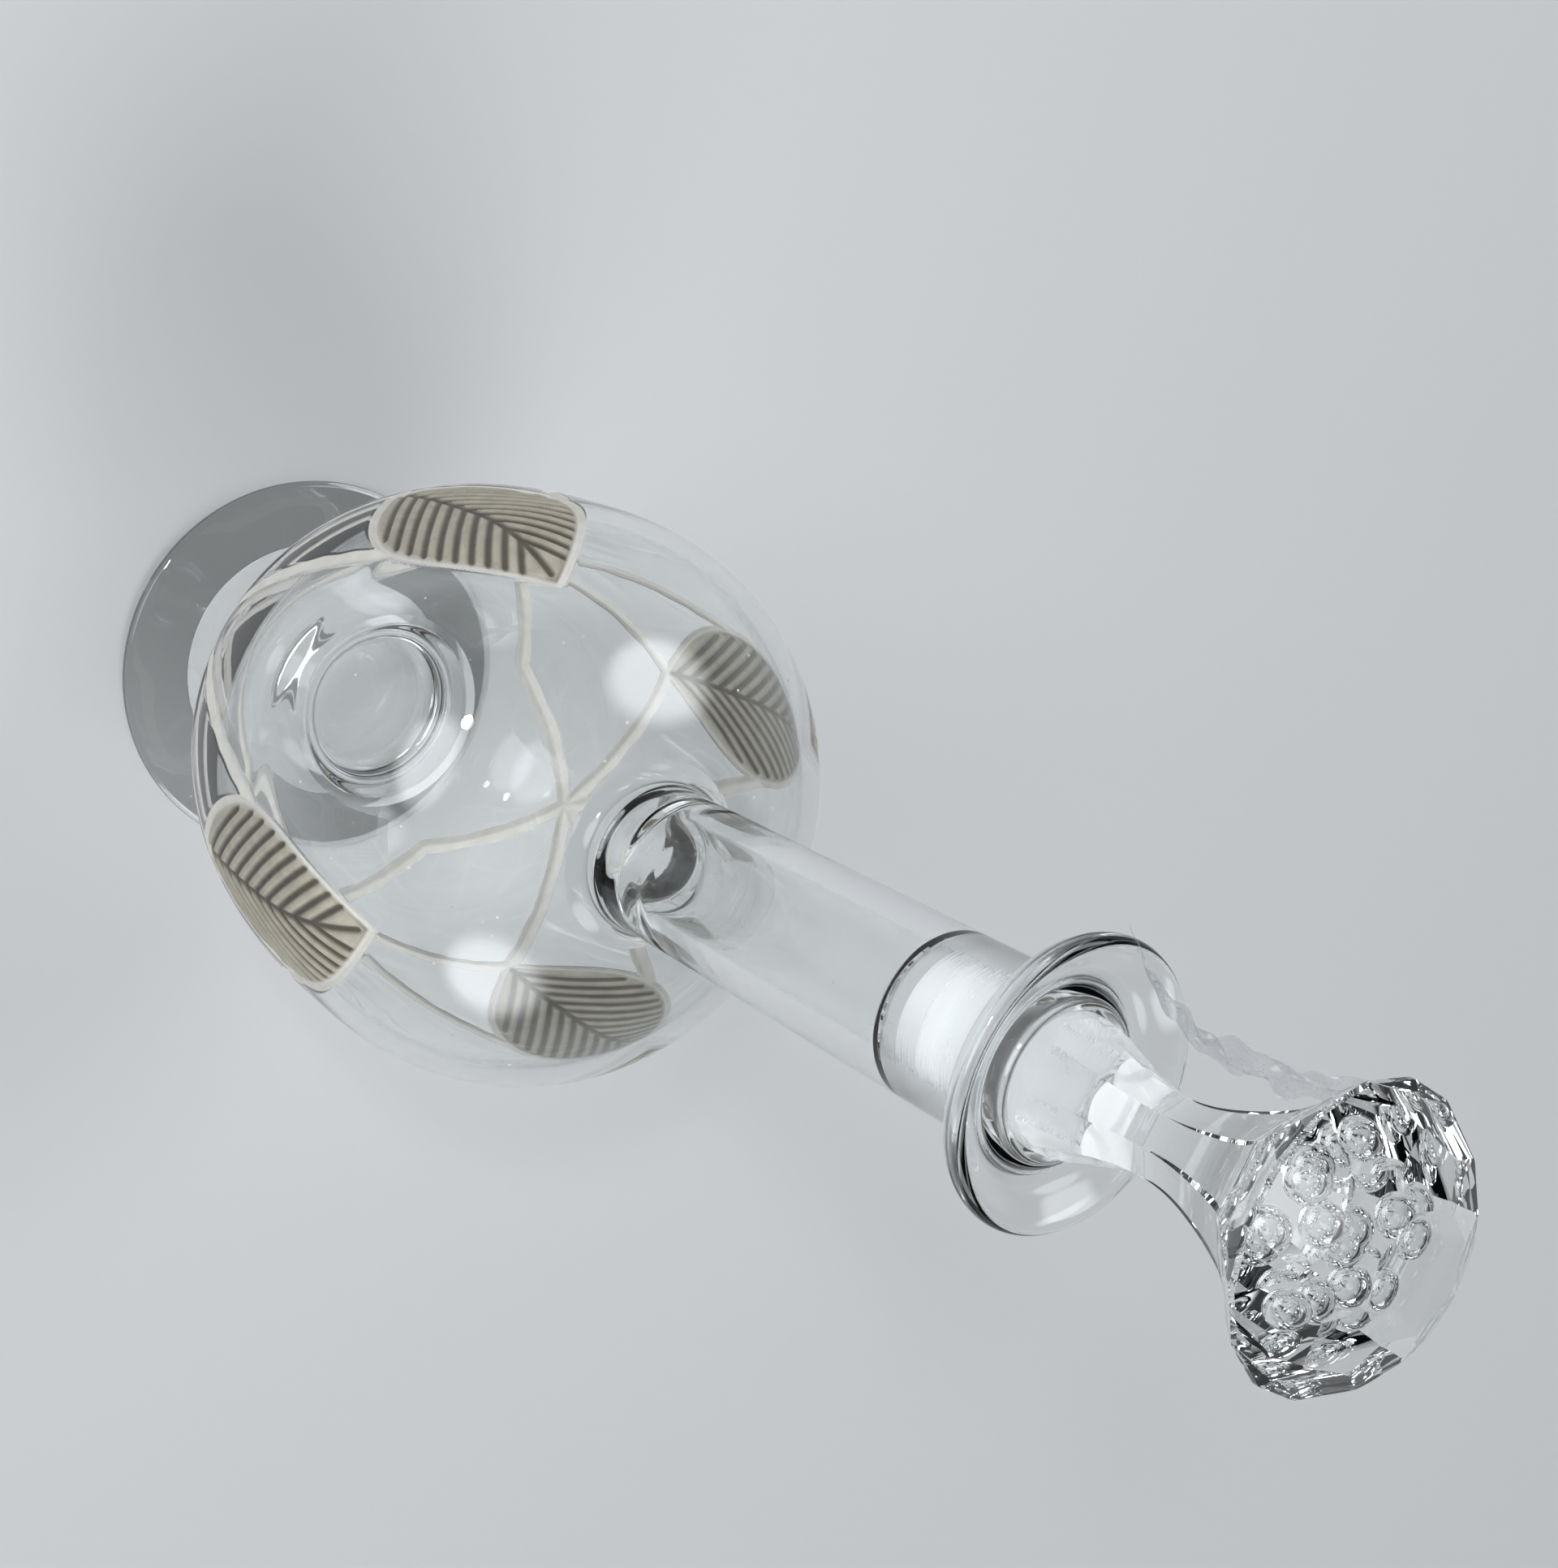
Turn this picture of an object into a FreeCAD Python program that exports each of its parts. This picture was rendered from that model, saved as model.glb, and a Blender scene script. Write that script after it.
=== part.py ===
import FreeCAD, Part
import math
import os

# Cut crystal decanter with a ground-in stopper. Millimetres, +Z up along the decanter's axis,
# origin at the middle of the foot's underside. Every piece turns about the Z axis.

Vector = FreeCAD.Vector
UP = Vector(0, 0, 1)
ORIGIN = Vector(0, 0, 0)

# Foot: a pressed disc with a low trumpet on top and a ground hollow beneath. The bends are the
# points between an outline's ends, as shares of its reach out from the axis and of its height.
FOOT_RADIUS = 46.7
FOOT_EDGE = 3.2
FOOT_HEIGHT = 10.0
FOOT_HOLLOW_RADIUS = 31.0
FOOT_HOLLOW_DEPTH = 4.0
FOOT_TOP_RADIUS = 17.5
HOLLOW_BEND = (0.55, 0.72)
TRUMPET_BENDS = [(0.62, 0.16), (0.25, 0.45)]

# Stem: a short drawn waist between the foot and the bowl.
STEM_HEIGHT = 28.0
STEM_WAIST_RADIUS = 16.5
STEM_WAIST_SHARE = 0.35
STEM_SEAT_RADIUS = 23.0
STEM_FLARE = (0.35, 0.8)

# Bowl: a blown globe, widest above its middle, flat where it sits on the stem.
BOWL_RADIUS = 60.0
BOWL_ABOVE = 47.5
BOWL_BELOW = 80.0
BOWL_FLAT = 3.0
BOWL_WALL = 3.6
BOWL_BOTTOM = 9.0
SHOULDER_POWER = 2.5
BELLY_POWER = 2.7

# Neck: a straight tube that swells a little at its root.
NECK_RADIUS = 14.2
NECK_BORE = 9.4
NECK_LENGTH = 106.5
ROOT_RADIUS = 18.5
ROOT_HEIGHT = 6.0
ROOT_SWELL = (0.25, 0.4)

# Lip: a wide dished collar with a rounded rim.
LIP_RADIUS = 23.2
LIP_HEIGHT = 9.6
LIP_BEAD = 1.7
MOUTH_DEPTH = 3.0
MOUTH_RIDGE = 0.7
RIDGE_OUT = 1.4
RIDGE_WIDTH = 2.6
LIP_FLARE = (0.22, 0.42)
LIP_DISH = (0.85, 0.25)
BEAD_ARC = 60.0

# Stopper: a ground peg, a waisted eight-sided shank and a faceted head with air bubbles.
PEG_LENGTH = 25.0
PEG_TOP_RADIUS = 10.8
PEG_BOTTOM_RADIUS = 10.0
PEG_CHAMFER = 0.8
PEG_PROUD = 0.6
GROUND_CLEARANCE = 0.1
SEAT_RUNOUT = 3.0
SHANK_LENGTH = 36.0
SHANK_WAIST = 6.2
HEAD_RADIUS = 21.6
HEAD_RISE = 15.5
GIRDLE_BAND = 1.0
CROWN_HEIGHT = 10.0
TABLE_RADIUS = 12.5
RIDGE_LEAN = 32.0
RIDGE_EASE = 0.82
BLANK_STEP = 0.4
SHANK_BENDS = [(0.67, 0.15), (0.16, 0.38), (0.0, 0.60), (0.30, 0.82)]
FLARE_BENDS = [(0.36, 0.78), (0.70, 0.90)]
PANEL_OVERSIZE = 0.3
PANELS = 8
BUBBLE_RADIUS = 3.1
BUBBLE_RING_RADIUS = 7.6
BUBBLE_RING_COUNT = 6
BUBBLE_SINK = 6.0
BUBBLE_STAGGER = 2.0

# Cut decoration: four veined leaves round the globe, and a six-ray star low down between each
# pair. The wheels have V edges, so each cut has a half width at the surface and a depth.
LEAF_COUNT = 4
LEAF_TURN = 45.0
LEAF_LENGTH = 64.0
LEAF_TIP_DROP = 16.0
LEAF_HALF_ANGLE = 18.0
LEAF_WIDEST = 0.54
LEAF_FULLNESS = 1.8
VEIN_COUNT = 10
VEIN_FIRST = 0.05
VEIN_PITCH = 0.085
VEIN_LEAN = 35.0
VEIN_REACH = 0.93
VEIN_HALF_WIDTH = 1.35
VEIN_CUT_DEPTH = 0.85
RIB_FIRST = 0.02
RIB_LAST = 0.97
STAR_BELOW_LEAF = 24.0
ZIGZAG_BELOW_STAR = 13.5
GROOVE_HALF_WIDTH = 1.25
GROOVE_CUT_DEPTH = 0.85
WHEEL_RISE = 1.2
OVERRUN = 0.5
PIT_RADIUS = 1.7
PIT_LIFT = 0.6

# Clear tape that holds the stopper in store: one strip from above the lip to the head.
TAPE_TURN = 185.0
TAPE_WIDTH = 13.0
TAPE_THICKNESS = 0.4
TAPE_GAP = 0.5
TAPE_INSET = 3.0
TAPE_LOW_BEND = (0.35, 0.16)
TAPE_SLACK_SHARE = 0.45
TAPE_HIGH_BEND = (0.30, 0.72)

# Heights of the joins, from the foot upwards.
SEAT_Z = FOOT_HEIGHT + STEM_HEIGHT
WIDEST_Z = SEAT_Z - BOWL_FLAT + BOWL_BELOW
ROOT_Z = WIDEST_Z + BOWL_ABOVE * (1 - (ROOT_RADIUS / BOWL_RADIUS) ** SHOULDER_POWER) ** (1 / SHOULDER_POWER)
LIP_Z = ROOT_Z + NECK_LENGTH
RIM_Z = LIP_Z + LIP_HEIGHT
MOUTH_Z = RIM_Z - MOUTH_DEPTH
PEG_TOP_Z = MOUTH_Z + PEG_PROUD
PEG_BOTTOM_Z = PEG_TOP_Z - PEG_LENGTH
SEAT_END_Z = PEG_BOTTOM_Z - SEAT_RUNOUT
LEAF_TOP_Z = ROOT_Z - LEAF_TIP_DROP
LEAF_LOW_Z = LEAF_TOP_Z - LEAF_LENGTH
STAR_Z = LEAF_LOW_Z - STAR_BELOW_LEAF
ZIGZAG_Z = STAR_Z - ZIGZAG_BELOW_STAR
HEAD_Z = PEG_TOP_Z + SHANK_LENGTH
GIRDLE_Z = HEAD_Z + HEAD_RISE
TABLE_Z = GIRDLE_Z + CROWN_HEIGHT


def point(radius, z, turn=0.0):
    """The point at a radius and height, turned about the axis by a number of degrees."""
    angle = math.radians(turn)
    return Vector(radius * math.cos(angle), radius * math.sin(angle), z)


def line(start, end):
    return Part.makeLine(point(*start), point(*end))


def arc(start, middle, end):
    return Part.Arc(point(*start), point(*middle), point(*end)).toShape()


def smooth(points):
    curve = Part.BSplineCurve()
    curve.interpolate([point(*p) for p in points])
    return curve.toShape()


def turned(edges):
    """The solid that a closed outline of edges in the XZ plane sweeps round the axis."""
    return Part.Face(Part.Wire(edges)).revolve(ORIGIN, UP, 360)


def globe_radius(z, shrink=0.0, bottom=0.0):
    """The globe's radius at a height; shrink and bottom set its walls in from the outside."""
    if z >= WIDEST_Z:
        reach = BOWL_ABOVE - shrink
        power = SHOULDER_POWER
    else:
        reach = BOWL_BELOW - bottom
        power = BELLY_POWER
    share = min(1.0, abs(z - WIDEST_Z) / reach)
    return (BOWL_RADIUS - shrink) * (1 - share**power) ** (1 / power)


def globe_height(radius, shrink=0.0):
    """The height at which the shoulder has a radius."""
    share = radius / (BOWL_RADIUS - shrink)
    return WIDEST_Z + (BOWL_ABOVE - shrink) * (1 - share**SHOULDER_POWER) ** (1 / SHOULDER_POWER)


def globe_edges(low_z, top_radius, shrink=0.0, bottom=0.0):
    """The globe's outline from a low point up to a radius on its shoulder, in two smooth runs."""
    steps = 9
    top_z = globe_height(top_radius, shrink)
    belly = []
    shoulder = []
    for i in range(steps + 1):
        swing = math.pi / 2 * i / steps
        z = WIDEST_Z - (WIDEST_Z - low_z) * math.cos(swing)
        belly.append((globe_radius(z, shrink, bottom), z))
        z = WIDEST_Z + (top_z - WIDEST_Z) * math.sin(swing)
        shoulder.append((globe_radius(z, shrink, bottom), z))
    return [smooth(belly), smooth(shoulder)]


def ground_radius(z):
    """The radius of the peg's ground taper at a height."""
    slope = (PEG_TOP_RADIUS - PEG_BOTTOM_RADIUS) / PEG_LENGTH
    return PEG_TOP_RADIUS - slope * (PEG_TOP_Z - z)


def seat_radius(z):
    """The radius of the ground seat that the peg sits in."""
    return ground_radius(z) + GROUND_CLEARANCE


def foot():
    hollow_top = (0, FOOT_HOLLOW_DEPTH)
    hollow_middle = (FOOT_HOLLOW_RADIUS * HOLLOW_BEND[0], FOOT_HOLLOW_DEPTH * HOLLOW_BEND[1])
    hollow_edge = (FOOT_HOLLOW_RADIUS, 0)
    half_edge = FOOT_EDGE / 2
    rim_low = (FOOT_RADIUS - half_edge, 0)
    rim_middle = (FOOT_RADIUS, half_edge)
    rim_high = (FOOT_RADIUS - half_edge, FOOT_EDGE)
    fall = FOOT_HEIGHT - FOOT_EDGE
    spread = FOOT_RADIUS - half_edge - FOOT_TOP_RADIUS
    bends = [(FOOT_TOP_RADIUS + spread * out, FOOT_EDGE + fall * up) for out, up in TRUMPET_BENDS]
    trumpet = [rim_high] + bends + [(FOOT_TOP_RADIUS, FOOT_HEIGHT)]
    return turned([
        arc(hollow_top, hollow_middle, hollow_edge),
        line(hollow_edge, rim_low),
        arc(rim_low, rim_middle, rim_high),
        smooth(trumpet),
        line((FOOT_TOP_RADIUS, FOOT_HEIGHT), (0, FOOT_HEIGHT)),
        line((0, FOOT_HEIGHT), hollow_top),
    ])


def stem():
    flare_out, flare_up = STEM_FLARE
    flare_radius = STEM_WAIST_RADIUS + (STEM_SEAT_RADIUS - STEM_WAIST_RADIUS) * flare_out
    side = [
        (FOOT_TOP_RADIUS, FOOT_HEIGHT),
        (STEM_WAIST_RADIUS, FOOT_HEIGHT + STEM_HEIGHT * STEM_WAIST_SHARE),
        (flare_radius, FOOT_HEIGHT + STEM_HEIGHT * flare_up),
        (STEM_SEAT_RADIUS, SEAT_Z),
    ]
    return turned([
        line((0, FOOT_HEIGHT), side[0]),
        smooth(side),
        line(side[-1], (0, SEAT_Z)),
        line((0, SEAT_Z), (0, FOOT_HEIGHT)),
    ])


def globe(low_z, top_radius, shrink=0.0, bottom=0.0):
    """The solid globe from a low height up to a radius on its shoulder, flat at both ends."""
    low_radius = globe_radius(low_z, shrink, bottom)
    top_z = globe_height(top_radius, shrink)
    edges = globe_edges(low_z, top_radius, shrink, bottom)
    if low_radius > 0:
        edges.insert(0, line((0, low_z), (low_radius, low_z)))
    if top_radius > 0:
        edges.append(line((top_radius, top_z), (0, top_z)))
    edges.append(line((0, top_z), (0, low_z)))
    return turned(edges)


def leaf_half_angle(share):
    """Half the leaf's width in degrees, at a share of its length from the bottom tip."""
    grow = (share / LEAF_WIDEST) ** (LEAF_FULLNESS * LEAF_WIDEST)
    fade = ((1 - share) / (1 - LEAF_WIDEST)) ** (LEAF_FULLNESS * (1 - LEAF_WIDEST))
    return LEAF_HALF_ANGLE * grow * fade


def leaf_place(share, across):
    """A place on the leaf that faces +X: its turn in degrees and its height."""
    return (across * leaf_half_angle(share), LEAF_LOW_Z + LEAF_LENGTH * share)


def on_globe(place):
    """The point on the globe at a place, which is a turn and a height."""
    turn, z = place
    return point(globe_radius(z), z, turn)


def outward(place):
    """The direction square to the globe at a place."""
    turn, z = place
    step = 0.1
    slope = (globe_radius(z + step) - globe_radius(z - step)) / (2 * step)
    return (point(1, -slope, turn)).normalize()


def midway(first, last):
    """Where a straight cut between two places crosses the globe halfway along."""
    start = on_globe(first)
    chord = on_globe(last) - start
    out = outward(first) + outward(last)
    out = (out - chord * (out.dot(chord) / chord.dot(chord))).normalize()
    inner = 0.0
    outer = BOWL_RADIUS
    for _ in range(40):
        reach = (inner + outer) / 2
        middle = start + chord / 2 + out * reach
        if math.hypot(middle.x, middle.y) < globe_radius(middle.z):
            inner = reach
        else:
            outer = reach
    return middle


def mitre_cut(first, last, half_width, depth, middle=None):
    """What a V-edged wheel cuts along the globe from one place to another."""
    start = on_globe(first)
    path = Part.Arc(start, middle or midway(first, last), on_globe(last)).toShape()
    circle = path.Curve
    spare = OVERRUN / circle.Radius
    heading = path.tangentAt(path.FirstParameter)
    out = outward(first)
    out = (out - heading * out.dot(heading)).normalize()
    across = heading.cross(out)
    top_half = half_width * (depth + WHEEL_RISE) / depth
    top = start + out * WHEEL_RISE
    corners = [start - out * depth, top + across * top_half, top - across * top_half]
    section = Part.Face(Part.makePolygon(corners + corners[:1]))
    section.rotate(circle.Center, circle.Axis, -math.degrees(spare))
    swing = path.LastParameter - path.FirstParameter + 2 * spare
    return section.revolve(circle.Center, circle.Axis, math.degrees(swing))


def vein_end(root):
    """The share of the leaf's length at which a vein with its root at another share reaches the edge."""
    step = 0.002
    end = root
    run = 0.0
    while end < 1 and run < VEIN_REACH * leaf_half_angle(end):
        end += step
        rise = LEAF_LENGTH * (end - root)
        run = math.degrees(rise * math.tan(math.radians(VEIN_LEAN)) / BOWL_RADIUS)
    return end


def leaf_veins():
    """The midrib of the leaf that faces +X, and its veins, which rise outwards on both sides."""
    size = (VEIN_HALF_WIDTH, VEIN_CUT_DEPTH)
    cuts = [mitre_cut(leaf_place(RIB_FIRST, 0), leaf_place(RIB_LAST, 0), *size)]
    for i in range(VEIN_COUNT):
        root = VEIN_FIRST + VEIN_PITCH * i
        end = vein_end(root)
        for side in (1, -1):
            cuts.append(mitre_cut(leaf_place(root, 0), leaf_place(end, side * VEIN_REACH), *size))
    return cuts


def leaf_grooves():
    """The bold grooves of the leaf that faces +X: its edge, its rays to the stars, and their pits."""
    size = (GROOVE_HALF_WIDTH, GROOVE_CUT_DEPTH)
    low_tip = leaf_place(0, 0)
    high_tip = leaf_place(1, 0)
    cuts = []
    meetings = [low_tip, high_tip, (180 / LEAF_COUNT, STAR_Z), (0, ZIGZAG_Z)]
    for side in (1, -1):
        star = (side * 180 / LEAF_COUNT, STAR_Z)
        edge = leaf_place(LEAF_WIDEST, side)
        below = on_globe(leaf_place(LEAF_WIDEST / 2, side))
        above = on_globe(leaf_place((1 + LEAF_WIDEST) / 2, side))
        cuts += [mitre_cut(star, end, *size) for end in (low_tip, (0, ZIGZAG_Z), edge)]
        cuts.append(mitre_cut(low_tip, edge, *size, middle=below))
        cuts.append(mitre_cut(edge, high_tip, *size, middle=above))
        meetings.append(edge)
    return cuts + [Part.makeSphere(PIT_RADIUS, on_globe(m) + outward(m) * PIT_LIFT) for m in meetings]


def bowl():
    inside_low = WIDEST_Z - BOWL_BELOW + BOWL_BOTTOM
    inside = globe(inside_low, NECK_BORE, BOWL_WALL, BOWL_BOTTOM)
    bore = Part.makeCylinder(NECK_BORE, ROOT_Z - WIDEST_Z, point(0, WIDEST_Z))
    solid = globe(SEAT_Z, ROOT_RADIUS).cut(inside.fuse(bore))
    leaf = leaf_veins() + leaf_grooves()
    cutters = []
    for i in range(LEAF_COUNT):
        for cut in leaf:
            placed = cut.copy()
            placed.rotate(ORIGIN, UP, LEAF_TURN + 360 / LEAF_COUNT * i)
            cutters.append(placed)
    cut_pieces = solid.cut(cutters).Solids
    return max(cut_pieces, key=lambda piece: piece.Volume)


def neck():
    swell_out, swell_up = ROOT_SWELL
    swell = [
        (ROOT_RADIUS, ROOT_Z),
        (NECK_RADIUS + (ROOT_RADIUS - NECK_RADIUS) * swell_out, ROOT_Z + ROOT_HEIGHT * swell_up),
        (NECK_RADIUS, ROOT_Z + ROOT_HEIGHT),
    ]
    return turned([
        line((NECK_BORE, ROOT_Z), swell[0]),
        smooth(swell),
        line(swell[-1], (NECK_RADIUS, LIP_Z)),
        line((NECK_RADIUS, LIP_Z), (seat_radius(LIP_Z), LIP_Z)),
        line((seat_radius(LIP_Z), LIP_Z), (seat_radius(SEAT_END_Z), SEAT_END_Z)),
        line((seat_radius(SEAT_END_Z), SEAT_END_Z), (NECK_BORE, SEAT_END_Z)),
        line((NECK_BORE, SEAT_END_Z), (NECK_BORE, ROOT_Z)),
    ])


def lip():
    bead_r = LIP_RADIUS - LIP_BEAD
    bead_z = RIM_Z - LIP_BEAD
    spread = bead_r - NECK_RADIUS
    bead_out = LIP_BEAD * math.cos(math.radians(BEAD_ARC))
    bead_up = LIP_BEAD * math.sin(math.radians(BEAD_ARC))
    under_end = (bead_r + bead_out, bead_z - bead_up)
    over_end = (bead_r - bead_out, bead_z + bead_up)
    flare_out, flare_up = LIP_FLARE
    flare_middle = (NECK_RADIUS + spread * flare_out, LIP_Z + (bead_z - LIP_Z) * flare_up)
    flare = [(NECK_RADIUS, LIP_Z), flare_middle, under_end]
    mouth_r = seat_radius(MOUTH_Z)
    dish_out, dish_up = LIP_DISH
    dish_middle = (mouth_r + spread * dish_out, MOUTH_Z + MOUTH_DEPTH * dish_up)
    dish = [over_end, dish_middle, (mouth_r + RIDGE_WIDTH, MOUTH_Z)]
    ridge = [dish[-1], (mouth_r + RIDGE_OUT, MOUTH_Z + MOUTH_RIDGE), (mouth_r, MOUTH_Z)]
    return turned([
        line((seat_radius(LIP_Z), LIP_Z), flare[0]),
        smooth(flare),
        arc(under_end, (LIP_RADIUS, bead_z), over_end),
        smooth(dish),
        arc(*ridge),
        line(ridge[-1], (seat_radius(LIP_Z), LIP_Z)),
    ])


def stopper_peg():
    low = (ground_radius(PEG_BOTTOM_Z + PEG_CHAMFER), PEG_BOTTOM_Z + PEG_CHAMFER)
    tip = (low[0] - PEG_CHAMFER, PEG_BOTTOM_Z)
    top = (PEG_TOP_RADIUS, PEG_TOP_Z)
    return turned([
        line((0, PEG_BOTTOM_Z), tip),
        line(tip, low),
        line(low, top),
        line(top, (0, PEG_TOP_Z)),
        line((0, PEG_TOP_Z), (0, PEG_BOTTOM_Z)),
    ])


def facet_cutter(turn, reach, z, rise):
    """All that lies outside a flat facet: it passes the reach at height z, leaning in by rise degrees."""
    size = HEAD_RADIUS * 3
    block = Part.makeBox(size, size * 2, size * 2, Vector(0, -size, -size))
    block.rotate(ORIGIN, Vector(0, 1, 0), -rise)
    block.translate(Vector(reach, 0, z))
    block.rotate(ORIGIN, UP, turn)
    return block


def panel_cutter(turn):
    """All that lies outside one long panel, which is flat across and hollow along the shank."""
    girdle_reach = HEAD_RADIUS * math.cos(math.pi / (2 * PANELS))
    low_z = GIRDLE_Z - GIRDLE_BAND / 2
    rise = low_z - PEG_TOP_Z
    spread = girdle_reach - SHANK_WAIST
    hollow = [(PEG_TOP_RADIUS + PANEL_OVERSIZE, PEG_TOP_Z)]
    for out, up in SHANK_BENDS:
        radius = SHANK_WAIST + (PEG_TOP_RADIUS - SHANK_WAIST) * out
        hollow.append((radius, PEG_TOP_Z + SHANK_LENGTH * up))
    for out, up in FLARE_BENDS:
        hollow.append((SHANK_WAIST + spread * out, PEG_TOP_Z + rise * up))
    hollow.append((girdle_reach, low_z))
    far = HEAD_RADIUS * 2
    outline = [
        smooth(hollow),
        line(hollow[-1], (far, low_z)),
        line((far, low_z), (far, PEG_TOP_Z)),
        line((far, PEG_TOP_Z), hollow[0]),
    ]
    width = HEAD_RADIUS * 2
    face = Part.Face(Part.Wire(outline))
    face.translate(Vector(0, -width / 2, 0))
    block = face.extrude(Vector(0, width, 0))
    block.rotate(ORIGIN, UP, turn)
    return block


def finial():
    """The shank and head as one cut blank."""
    shank_blank = Part.makeCylinder(PEG_TOP_RADIUS, SHANK_LENGTH * BLANK_STEP, point(0, PEG_TOP_Z))
    upper_z = PEG_TOP_Z + SHANK_LENGTH * BLANK_STEP
    head_blank = Part.makeCylinder(HEAD_RADIUS, TABLE_Z - upper_z, point(0, upper_z))
    blank = shank_blank.fuse(head_blank)
    reach = HEAD_RADIUS * math.cos(math.pi / (2 * PANELS))
    above = GIRDLE_Z + GIRDLE_BAND / 2
    below = GIRDLE_Z - GIRDLE_BAND / 2
    crown = math.degrees(math.atan2(reach - TABLE_RADIUS, TABLE_Z - above))
    cutters = []
    for i in range(PANELS):
        turn = 360 / PANELS * i
        ridge = turn + 180 / PANELS
        cutters.append(panel_cutter(turn))
        cutters.append(facet_cutter(turn, reach, GIRDLE_Z, 0))
        cutters.append(facet_cutter(ridge, reach, GIRDLE_Z, 0))
        cutters.append(facet_cutter(turn, reach, above, crown))
        cutters.append(facet_cutter(ridge, reach, above, crown * RIDGE_EASE))
        cutters.append(facet_cutter(ridge, reach, below, -RIDGE_LEAN).common(slab(HEAD_Z, TABLE_Z)))
    solid = blank
    for cutter in cutters:
        solid = solid.cut(cutter)
    return solid


def slab(low, high):
    size = HEAD_RADIUS * 4
    return Part.makeBox(size, size, high - low, Vector(-size / 2, -size / 2, low))


def bubbles():
    """The air bubbles in the head: one on the axis, and a staggered ring of them round it."""
    places = [(0, GIRDLE_Z - BUBBLE_SINK, 0)]
    for i in range(BUBBLE_RING_COUNT):
        sink = BUBBLE_SINK + BUBBLE_STAGGER * (i % 2)
        places.append((BUBBLE_RING_RADIUS, GIRDLE_Z - sink, 360 / BUBBLE_RING_COUNT * i))
    return [Part.makeSphere(BUBBLE_RADIUS, point(*place)) for place in places]


def tape(stopper):
    """A strip that leaves the lip's rim and bridges to the underside of the stopper's head."""
    rim_r = LIP_RADIUS - LIP_BEAD
    sag_r = (rim_r + SHANK_WAIST) / 2
    head_r = HEAD_RADIUS - TAPE_INSET
    low_z = RIM_Z + TAPE_GAP
    rise = GIRDLE_Z - low_z
    path = [
        (rim_r, low_z),
        (sag_r + (rim_r - sag_r) * TAPE_LOW_BEND[0], low_z + rise * TAPE_LOW_BEND[1]),
        (sag_r, low_z + rise * TAPE_SLACK_SHARE),
        (sag_r + (head_r - sag_r) * TAPE_HIGH_BEND[0], low_z + rise * TAPE_HIGH_BEND[1]),
        (head_r, GIRDLE_Z),
    ]
    inner = smooth(path)
    outer = smooth([(r + TAPE_THICKNESS, z) for r, z in path])
    first = (path[0][0] + TAPE_THICKNESS, path[0][1])
    last = (path[-1][0] + TAPE_THICKNESS, path[-1][1])
    face = Part.Face(Part.Wire([inner, line(path[-1], last), outer, line(first, path[0])]))
    face.translate(Vector(0, -TAPE_WIDTH / 2, 0))
    strip = face.extrude(Vector(0, TAPE_WIDTH, 0))
    strip.rotate(ORIGIN, UP, TAPE_TURN)
    outside = strip.cut(stopper).Solids
    return max(outside, key=lambda piece: piece.Volume)


os.makedirs("parts", exist_ok=True)
whole_finial = finial()
pieces = {
    "foot": foot(),
    "stem": stem(),
    "bowl": bowl(),
    "neck": neck(),
    "lip_ring": lip(),
    "stopper_peg": stopper_peg(),
    "stopper_shank": whole_finial.common(slab(PEG_TOP_Z, HEAD_Z)),
    "stopper_head": whole_finial.common(slab(HEAD_Z, TABLE_Z)).cut(bubbles()),
    "tape_strip": tape(whole_finial),
}
for name, shape in pieces.items():
    shape.exportStep("parts/" + name + ".step")
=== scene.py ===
import math
import random
import bmesh
import bpy
import numpy as np
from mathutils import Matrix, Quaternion, Vector


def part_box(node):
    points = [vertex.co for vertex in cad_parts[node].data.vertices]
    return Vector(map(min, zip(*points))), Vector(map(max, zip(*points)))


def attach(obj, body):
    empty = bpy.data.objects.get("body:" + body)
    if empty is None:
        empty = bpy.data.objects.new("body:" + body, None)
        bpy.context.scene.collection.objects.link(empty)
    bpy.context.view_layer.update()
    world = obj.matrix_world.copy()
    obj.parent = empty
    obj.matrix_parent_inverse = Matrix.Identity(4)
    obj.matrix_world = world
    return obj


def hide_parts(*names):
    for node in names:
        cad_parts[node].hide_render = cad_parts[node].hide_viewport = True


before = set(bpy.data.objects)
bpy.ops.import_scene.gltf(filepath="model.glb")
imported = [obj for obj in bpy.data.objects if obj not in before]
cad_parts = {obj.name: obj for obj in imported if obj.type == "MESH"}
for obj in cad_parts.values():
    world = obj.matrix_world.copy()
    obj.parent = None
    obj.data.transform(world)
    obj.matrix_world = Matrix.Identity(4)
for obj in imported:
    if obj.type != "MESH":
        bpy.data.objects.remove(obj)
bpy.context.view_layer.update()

# The foot is a thick disc of clear crystal, shaped hot from its own gather, with a low trumpet on
# top and a ground hollow underneath. Its top face is fused to the stem, so the skin is open there.
MM = 0.001
AROUND = 256
ON_AXIS = 1e-7


def flowing(points, steps=12):
    """A smooth line through a few (radius, height) points, with this many steps between each two."""
    known = np.array(points, float)
    ahead = np.vstack([2 * known[0] - known[1], known, 2 * known[-1] - known[-2]])
    line = []
    for i in range(len(known) - 1):
        a, b, c, d = ahead[i : i + 4]
        curve = 2 * a - 5 * b + 4 * c - d
        turn_over = 3 * b - a - 3 * c + d
        for t in np.arange(steps) / steps:
            line.append(tuple((2 * b + (c - a) * t + curve * t**2 + turn_over * t**3) / 2))
    return line + [tuple(known[-1])]


def rounded(centre, radius, first, last, steps=16):
    """An arc about a (radius, height) centre, from one angle in degrees to another."""
    angles = np.radians(np.linspace(first, last, steps + 1))
    return [(centre[0] + radius * math.cos(a), centre[1] + radius * math.sin(a)) for a in angles]


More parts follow.
